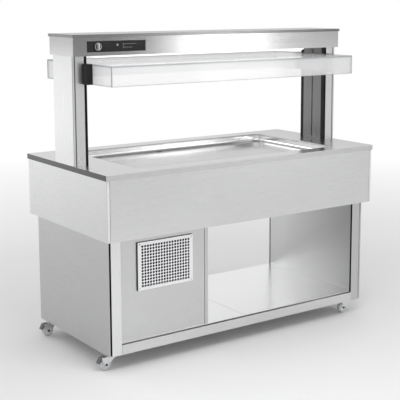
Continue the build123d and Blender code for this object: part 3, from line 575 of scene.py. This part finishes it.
def turn(shape, profile, centre, outward, steps=40, flutes=0, flute_depth=0.0):
    """Turn a profile of radius and height about an axis that leaves centre along outward."""
    facing = Vector(outward).to_track_quat("Z", "X").to_matrix()
    rings = []
    for radius, height in profile:
        ring = []
        for step in range(1 if radius == 0.0 else steps):
            angle = 2.0 * math.pi * step / steps
            reach = radius - flute_depth * (0.5 - 0.5 * math.cos(flutes * angle))
            local = Vector((reach * math.cos(angle), reach * math.sin(angle), height))
            ring.append(shape.verts.new(Vector(centre) + facing @ local))
        rings.append(ring)
    for first, second in zip(rings, rings[1:]):
        for step in range(steps):
            following = (step + 1) % steps
            corners = [first[step % len(first)], first[following % len(first)]]
            corners += [second[following % len(second)], second[step % len(second)]]
            shape.faces.new(list(dict.fromkeys(corners)))


def turned_ring(outline, centre, steps=40):
    """A ring whose cross-section is a closed outline of radius and height."""
    shape = bmesh.new()
    turn(shape, outline, centre, TO_FRONT, steps)
    bmesh.ops.remove_doubles(shape, verts=shape.verts, dist=WELD)
    return shape


def bevel_all(shape, offset, segments):
    bmesh.ops.bevel(
        shape, geom=shape.edges[:], offset=offset, segments=segments, profile=0.5, affect="EDGES"
    )


def middle(node):
    low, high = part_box(node)
    return [(start + end) / 2 for start, end in zip(low, high)]


def selector():
    """The knob on the control plate: a fluted skirt, a bright ring and a bar to grip."""
    knob_gap = 0.5 * MM
    skirt_height = 5.0 * MM
    foot_chamfer = 0.6 * MM
    top_chamfer = 1.0 * MM
    rim = 4.0 * MM
    dish = 0.6 * MM
    low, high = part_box("selector_knob")
    x, _, z = middle("selector_knob")
    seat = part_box("control_plate")[0][1] - knob_gap
    radius = (high[0] - low[0]) / 2
    skirt = bmesh.new()
    side = [(0.0, 0.0), (radius - foot_chamfer, 0.0), (radius, foot_chamfer)]
    side += [(radius, skirt_height - top_chamfer), (radius - top_chamfer, skirt_height)]
    top = [(radius - rim, skirt_height), (0.0, skirt_height - dish)]
    turn(skirt, side + top, (x, seat, z), TO_FRONT, steps=120, flutes=30, flute_depth=0.5 * MM)
    add_piece("selector_skirt", skirt, knob_plastic, "knob", "knob_plastic", "selector_knob")

    ring_foot = skirt_height - 0.5 * MM
    ring_top = skirt_height + 0.7 * MM
    ring_inside = radius - 4.2 * MM
    ring_outside = radius - 1.6 * MM
    band = [(ring_inside, ring_foot), (radius - rim, ring_top), (radius - rim / 2, ring_top)]
    band += [(ring_outside, ring_foot), (ring_inside, ring_foot)]
    ring = turned_ring(band, (x, seat, z), steps=60)
    add_piece("selector_ring", ring, steel_trim, "knob", "knob_plastic")

    grip_width = 8.0 * MM
    grip_half = radius - 4.6 * MM
    grip_sunk = 0.8 * MM
    narrowed, shortened = 0.8, 0.94
    grip = bmesh.new()
    bmesh.ops.create_cube(grip, size=1.0)
    for vert in grip.verts:
        front = vert.co.y < 0
        vert.co.x = x + vert.co.x * grip_width * (narrowed if front else 1.0)
        vert.co.z = z + vert.co.z * 2.0 * grip_half * (shortened if front else 1.0)
        vert.co.y = low[1] if front else seat - skirt_height + grip_sunk
    bevel_all(grip, offset=1.2 * MM, segments=3)
    add_piece("selector_grip", grip, grip_plastic, "knob", "knob_plastic")


def lamp():
    """The pilot lamp: a bright bezel and a domed lens."""
    bezel_edge = 0.6 * MM
    bezel_top = 1.1 * MM
    bezel_slope = 0.4 * MM
    bezel_width = 1.0 * MM
    low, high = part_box("pilot_lamp")
    x, _, z = middle("pilot_lamp")
    seat = high[1]
    radius = (high[0] - low[0]) / 2
    lip = radius - bezel_width
    rim = [(lip, 0.0), (radius, 0.0), (radius, bezel_edge), (radius - bezel_slope, bezel_top)]
    rim += [(lip, bezel_top), (lip, 0.0)]
    add_piece("lamp_bezel", turned_ring(rim, (x, seat, z)), steel_trim, "island", "lamp_lens")

    lens_foot = 0.8 * MM
    lens_gap = 0.1 * MM
    lens_steps = 5
    glass = lip - lens_gap
    rise = seat - low[1] - lens_foot
    dome = [(0.0, 0.0), (glass, 0.0), (glass, lens_foot)]
    for step in range(1, lens_steps + 1):
        angle = math.radians(90.0 * step / lens_steps)
        across = glass * math.cos(angle) if step < lens_steps else 0.0
        dome.append((across, lens_foot + rise * math.sin(angle)))
    lens = bmesh.new()
    turn(lens, dome, (x, seat, z), TO_FRONT)
    add_piece("lamp_dome", lens, lamp_lens, "island", "lamp_lens", "pilot_lamp")


def islands(node):
    """The boxes of the separate parts of a node."""
    shape = bmesh.new()
    shape.from_mesh(nodes[node].data)
    bmesh.ops.remove_doubles(shape, verts=shape.verts, dist=10 * WELD)
    waiting = set(shape.verts)
    found = []
    for seed in shape.verts:
        if seed not in waiting:
            continue
        waiting.remove(seed)
        group = [seed]
        for vert in group:
            for edge in vert.link_edges:
                other = edge.other_vert(vert)
                if other in waiting:
                    waiting.remove(other)
                    group.append(other)
        low = [min(vert.co[axis] for vert in group) for axis in range(3)]
        high = [max(vert.co[axis] for vert in group) for axis in range(3)]
        found.append((low, high))
    shape.free()
    return found


def screw_heads():
    """Pan heads with a recess, where the plain heads are, facing away from the sheet."""
    shares = [(0.0, 0.0), (1.0, 0.0), (1.0, 0.35), (0.9, 0.7)]
    shares += [(0.65, 0.95), (0.42, 1.0), (0.36, 0.5), (0.0, 0.42)]
    heads = bmesh.new()
    for low, high in islands("panel_screws"):
        size = [end - start for start, end in zip(low, high)]
        axis = size.index(min(size))
        centre = [(start + end) / 2 for start, end in zip(low, high)]
        outward = [0, 0, 0]
        if axis == 1:
            outward[1] = 1 if centre[1] > 0 else -1
        else:
            outward[0] = -1 if centre[0] > 0 else 1
        centre[axis] = low[axis] if outward[axis] > 0 else high[axis]
        radius = max(size) / 2
        profile = [(across * radius, up * size[axis]) for across, up in shares]
        turn(heads, profile, centre, outward, steps=24)
    add_piece("panel_screw_heads", heads, steel_screw, "island", "stainless", "panel_screws")


def two_sided(profile):
    """A closed outline from one half of a wheel's cross-section and its mirror image."""
    far_side = [(reach, -height) for reach, height in reversed(profile)]
    return profile + far_side + profile[:1]


def caster_wheels():
    bore = 4.5 * MM
    boss = 7.5 * MM
    hub_share = 0.62
    tyre_face = 0.5 * MM
    tyre_foot = 1.5 * MM
    hub_rim = 1.2 * MM
    hub_recess = 3.0 * MM
    draft = 0.8 * MM
    # Rounded shoulder of the tyre: how far each point lies below the tread and inside the wheel's side
    shoulder = [(4.0 * MM, tyre_face), (1.6 * MM, 1.6 * MM), (0.3 * MM, 4.5 * MM), (0.0, 7.0 * MM)]
    for place in CASTERS:
        node = f"caster_wheel_{place}"
        low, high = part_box(node)
        centre = middle(node)
        radius = (high[2] - low[2]) / 2
        half = (high[1] - low[1]) / 2
        hub = hub_share * radius
        wall = [(hub, half - tyre_foot), (hub + draft, half - tyre_face)]
        wall += [(radius - below, half - inside) for below, inside in shoulder]
        tyre = turned_ring(two_sided(wall), centre, steps=56)
        add_piece(f"tyre_{place}", tyre, wheel_rubber, f"wheel_{place}", "wheel_rubber", node)
        disc = [(bore, half), (boss, half), (boss + draft, half - hub_recess)]
        disc += [(hub - hub_rim - draft, half - hub_recess)]
        disc += [(hub - hub_rim, half - hub_rim), (hub, half - hub_rim)]
        core = turned_ring(two_sided(disc), centre)
        add_piece(f"hub_{place}", core, hub_plastic, f"wheel_{place}", "wheel_rubber")


def axle_bolts():
    """Hexagon heads on both faces of each fork."""
    corner = 5.5 * MM
    height = 2.5 * MM
    chamfer = 0.7 * MM
    profile = [(0.0, 0.0), (corner, 0.0), (corner, height - chamfer)]
    profile += [(corner - chamfer, height), (0.0, height)]
    for place in CASTERS:
        x, y, z = middle(f"caster_wheel_{place}")
        shape = bmesh.new()
        for side in (-1, 1):
            turn(shape, profile, (x, y + side * FORK_FACE, z), (0, side, 0), steps=6)
        add_piece(f"axle_bolts_{place}", shape, steel_bolt, f"fork_{place}", "zinc_steel")


def control_marks():
    """An arrow and a row of dashes for each direction of the dome, printed on the control plate."""
    raised = 0.15 * MM
    arrow = 8.0 * MM
    dash = 7.0 * MM
    gap = 2.2 * MM
    thick = 2.4 * MM
    from_end = 161.0 * MM
    up_row = {"rise": 30.5 * MM, "direction": 1, "dashes": 6}
    down_row = {"rise": 16.5 * MM, "direction": -1, "dashes": 4}
    plate_left, plate_face, plate_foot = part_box("control_plate")[0]
    left = plate_left + from_end
    shape = bmesh.new()

    def stamp(outline):
        front = [shape.verts.new((x, plate_face - raised, z)) for x, z in outline]
        back = [shape.verts.new((x, plate_face, z)) for x, z in outline]
        shape.faces.new(front)
        shape.faces.new(back[::-1])
        for part in range(len(outline)):
            shape.faces.new((front[part - 1], front[part], back[part], back[part - 1]))

    for row in (up_row, down_row):
        z = plate_foot + row["rise"]
        tip = z + row["direction"] * arrow / 2
        tail = z - row["direction"] * arrow / 2
        stamp([(left, tail), (left + arrow, tail), (left + arrow / 2, tip)])
        low, high = z - thick / 2, z + thick / 2
        for part in range(row["dashes"]):
            start = left + arrow + gap + part * (dash + gap)
            end = start + dash
            stamp([(start, low), (end, low), (end, high), (start, high)])
    add_piece("control_marks", shape, mark_ink, "island", "black_gloss")


def liner_edges():
    """Folded edges that close the rear corners between the side liners and the posts."""
    post_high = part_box("corner_posts")[1]
    liner_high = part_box("side_liners")[1]
    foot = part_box("shelf_sheets")[1][2]
    x = liner_high[0] - LINER_RETURN + SHEET / 2
    y = (liner_high[1] + post_high[1] - SHEET) / 2
    size = (SHEET, post_high[1] - SHEET - liner_high[1], post_high[2] - foot)
    shape = bmesh.new()
    for side in (-1, 1):
        centre = Vector((side * x, y, (foot + post_high[2]) / 2))
        strip = bmesh.ops.create_cube(shape, size=1.0)
        for vert in strip["verts"]:
            vert.co = centre + Vector(part * length for part, length in zip(vert.co, size))
    bevel_all(shape, offset=0.3 * MM, segments=2)
    add_piece("liner_edges", shape, steel_trim, "island", "stainless")


def vent_cover():
    """The vent grille with round holes: cells with a hole each, then a border with a rounded rim."""
    radius = 5.1 * MM
    sheet = 0.8 * MM
    bend = 1.6 * MM
    bend_steps = 4
    side_parts = 3
    ring_parts = 4 * side_parts
    low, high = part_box("vent_grille")
    front = low[1]
    inside = front + sheet
    back = high[1]
    left = (low[0] + high[0] - VENT_COLUMNS * VENT_SPACING_X) / 2
    foot = (low[2] + high[2] - VENT_ROWS * VENT_SPACING_Z) / 2
    shape = bmesh.new()
    made = {}

    def vert(x, y, z):
        key = (round(x / WELD), round(y / WELD), round(z / WELD))
        if key not in made:
            made[key] = shape.verts.new((x, y, z))
        return made[key]

    def cell_border(centre_x, centre_z):
        border = []
        for side in range(4):
            for part in range(side_parts):
                along = -1.0 + 2.0 * part / side_parts
                across, up = [(1.0, along), (-along, 1.0), (-1.0, -along), (along, -1.0)][side]
                border.append((centre_x + across * VENT_SPACING_X / 2, centre_z + up * VENT_SPACING_Z / 2))
        return border

    def cell(centre_x, centre_z):
        border = cell_border(centre_x, centre_z)
        ring = []
        for part in range(ring_parts):
            angle = math.radians(-45.0 + 360.0 * part / ring_parts)
            ring.append((centre_x + radius * math.cos(angle), centre_z + radius * math.sin(angle)))
        for part in range(ring_parts):
            after = (part + 1) % ring_parts
            outline = (border[part], border[after], ring[after], ring[part])
            for depth in (front, inside):
                shape.faces.new([vert(x, depth, z) for x, z in outline])
            (ax, az), (bx, bz) = ring[part], ring[after]
            wall = ((ax, front, az), (bx, front, bz), (bx, inside, bz), (ax, inside, az))
            shape.faces.new([vert(*corner) for corner in wall])

    for column in range(VENT_COLUMNS):
        for row in range(VENT_ROWS):
            cell(left + (column + 0.5) * VENT_SPACING_X, foot + (row + 0.5) * VENT_SPACING_Z)

    lines_x = [left + VENT_SPACING_X * part / side_parts for part in range(side_parts * VENT_COLUMNS + 1)]
    lines_z = [foot + VENT_SPACING_Z * part / side_parts for part in range(side_parts * VENT_ROWS + 1)]

    def loop(x_low, x_high, z_low, z_high, depth):
        """Points round a rectangle, one for each line of the perforated field and one for each corner."""
        spots = [(x_low, z_low)] + [(x, z_low) for x in lines_x]
        spots += [(x_high, z_low)] + [(x_high, z) for z in lines_z]
        spots += [(x_high, z_high)] + [(x, z_high) for x in reversed(lines_x)]
        spots += [(x_low, z_high)] + [(x_low, z) for z in reversed(lines_z)]
        return [(x, depth, z) for x, z in spots]

    def inset(edge, depth):
        return loop(low[0] + edge, high[0] - edge, low[2] + edge, high[2] - edge, depth)

    field = (lines_x[0], lines_x[-1], lines_z[0], lines_z[-1])
    loops = [loop(*field, front)]
    for part in range(bend_steps + 1):
        angle = math.radians(90.0 * part / bend_steps)
        loops.append(inset(bend * (1.0 - math.sin(angle)), front + bend * (1.0 - math.cos(angle))))
    loops += [inset(0.0, back), inset(sheet, back), inset(sheet, inside), loop(*field, inside)]
    for first, second in zip(loops, loops[1:]):
        for part in range(len(first)):
            after = (part + 1) % len(first)
            corners = [vert(*spot) for spot in (first[part], first[after], second[after], second[part])]
            shape.faces.new(list(dict.fromkeys(corners)))
    add_piece("vent_cover", shape, steel_grille, "island", "stainless", "vent_grille")


selector()
lamp()
screw_heads()
caster_wheels()
axle_bolts()
control_marks()
liner_edges()
vent_cover()


# Floor: pale paper that turns white far from the counter
def pale_floor():
    reach = 30.0
    sweep_start = 1.6
    sweep_end = 5.0
    mesh = bpy.data.meshes.new("floor")
    corners = [(-reach, -reach, 0), (reach, -reach, 0), (reach, reach, 0), (-reach, reach, 0)]
    mesh.from_pydata(corners, [], [(0, 1, 2, 3)])
    floor = bpy.data.objects.new("floor", mesh)
    bpy.context.collection.objects.link(floor)
    tree = Surface("floor_paper")
    mottled = tree.spread(tree.noise(scale=0.7, detail=4.0), low=0.0, high=1.0)
    tree.colour(tree.blend(mottled, (0.84, 0.84, 0.84), (0.86, 0.86, 0.86)))
    tree.set(Roughness=0.9, Specular_IOR_Level=0.1)
    distance = tree.add("ShaderNodeVectorMath", operation="LENGTH")
    tree.link(tree.coords, distance.inputs[0])
    far = tree.spread(distance.outputs["Value"], low=0.0, high=1.0, start=sweep_start, end=sweep_end)
    seen = tree.add("ShaderNodeLightPath").outputs["Is Camera Ray"]
    backdrop = tree.add("ShaderNodeEmission")
    sweep = tree.add("ShaderNodeMixShader")
    tree.link(tree.both(far, seen), sweep.inputs["Fac"])
    tree.link(tree.shader.outputs["BSDF"], sweep.inputs[1])
    tree.link(backdrop.outputs["Emission"], sweep.inputs[2])
    tree.link(sweep.outputs["Shader"], tree.tree.nodes["Material Output"].inputs["Surface"])
    mesh.materials.append(tree.material)


pale_floor()


# Camera at the photograph's viewing angle
def camera():
    picture_width = 400.0
    focal_length = 995.8
    downward = math.radians(8.733)
    to_right = math.radians(35.967)
    data = bpy.data.cameras.new("camera")
    data.sensor_width = 36.0
    data.lens = focal_length / picture_width * data.sensor_width
    data.shift_x = -0.06
    data.shift_y = -0.12
    data.clip_end = 100.0
    cam = bpy.data.objects.new("camera", data)
    cam.location = (-2.5226, -3.623, 1.4693)
    cam.rotation_euler = (math.pi / 2 - downward, 0.0, -to_right)
    bpy.context.collection.objects.link(cam)
    bpy.context.scene.camera = cam


camera()


# Soft studio light
def softbox(name, place, aim, size, watts):
    data = bpy.data.lights.new(name, "AREA")
    data.shape = "RECTANGLE"
    data.size, data.size_y = size
    data.energy = watts
    light = bpy.data.objects.new(name, data)
    light.location = place
    light.rotation_euler = (Vector(aim) - Vector(place)).to_track_quat("-Z", "Y").to_euler()
    bpy.context.collection.objects.link(light)


softbox("key", place=(-0.4, -1.3, 1.9), aim=(-0.3, -1.2, 0.0), size=(0.8, 0.8), watts=12.0)
softbox("rear_left", place=(-2.4, 3.9, 2.4), aim=(-2.2, 3.6, 0.0), size=(1.3, 1.3), watts=26.0)
softbox("end_light", place=(-2.7, 4.9, 0.55), aim=(-0.7, 0.0, 0.7), size=(1.7, 0.9), watts=4.0)
softbox("bridge_light", place=(2.6, -3.75, 1.1), aim=(0.05, -0.1, 1.29), size=(0.7, 0.9), watts=6.0)


# Studio surroundings: white to the camera, and greyer in mirrored views low towards the front
def surroundings():
    ambient = 0.8
    front_right = (0.5, -0.87, 0.0)
    world = bpy.data.worlds.new("world")
    bpy.context.scene.world = world
    world.use_nodes = True
    sky = Nodes(world.node_tree, "Generated")
    height = sky.along("Z")
    facing = sky.add("ShaderNodeVectorMath", operation="DOT_PRODUCT")
    facing.inputs[1].default_value = front_right
    sky.link(sky.coords, facing.inputs[0])
    towards_front = sky.spread(
        facing.outputs["Value"], low=0.0, high=0.85, start=0.0, end=0.9, curve="SMOOTHSTEP"
    )
    low_band = sky.spread(height, low=1.0, high=0.0, start=0.03, end=0.16, curve="SMOOTHSTEP")
    bright = sky.math("SUBTRACT", 1.0, sky.math("MULTIPLY", towards_front, low_band))
    rise = sky.spread(height, low=0.78, high=1.0, start=0.0, end=0.12)
    around = sky.math("MULTIPLY", bright, rise)
    ray = sky.add("ShaderNodeLightPath").outputs
    mirrored = sky.math("MAXIMUM", ray["Is Glossy Ray"], ray["Is Transmission Ray"])
    studio = sky.mix(mirrored, ambient, around)
    level = sky.mix(ray["Is Camera Ray"], studio, 1.0)
    background = sky.tree.nodes["Background"]
    background.inputs["Color"].default_value = (1.0, 1.0, 1.0, 1.0)
    sky.link(level, background.inputs["Strength"])


surroundings()

bpy.context.scene.view_settings.view_transform = "Standard"
